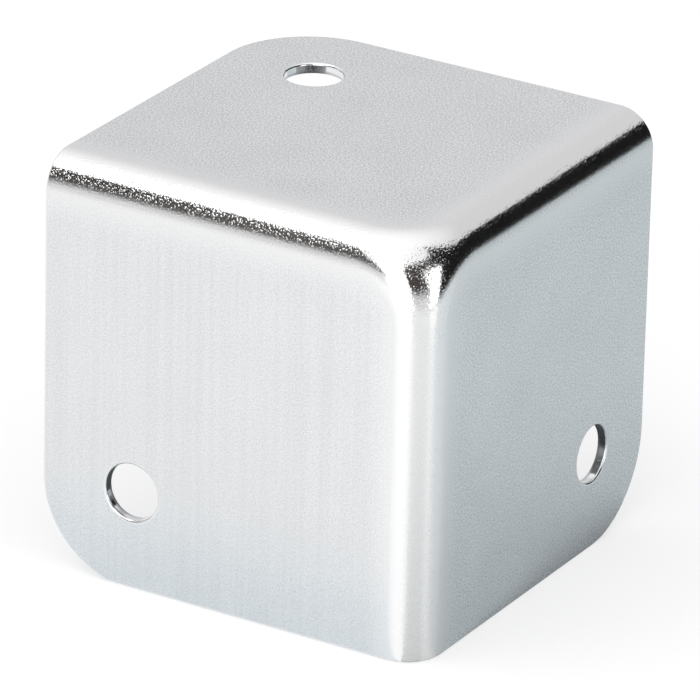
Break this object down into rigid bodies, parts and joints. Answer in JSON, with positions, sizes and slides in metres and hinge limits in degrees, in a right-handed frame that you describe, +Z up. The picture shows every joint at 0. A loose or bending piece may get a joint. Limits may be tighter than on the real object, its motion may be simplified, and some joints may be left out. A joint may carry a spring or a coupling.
{
  "type": "case corner",
  "caption": "Drawn sheet steel corner cover: equal walls meet at a rounded apex, with a screw hole near each rounded free corner, to guard the outside corner of a case.",
  "frame": {"origin": "the point where the three inner seat planes meet, which is the tip of the case corner that the part covers", "axes": "+Z up, out of the top wall; +X out of the side wall; -Y out of the front wall; the walls run from the origin along -X, +Y and -Z"},
  "size_m": [0.04, 0.04, 0.04],
  "materials": {
    "zinc_plate": "bright zinc plate, satin on the flat walls and burnished on the bends"
  },
  "bodies": {
    "root": {"case_corner": "zinc_plate"}
  },
  "joints": []
}
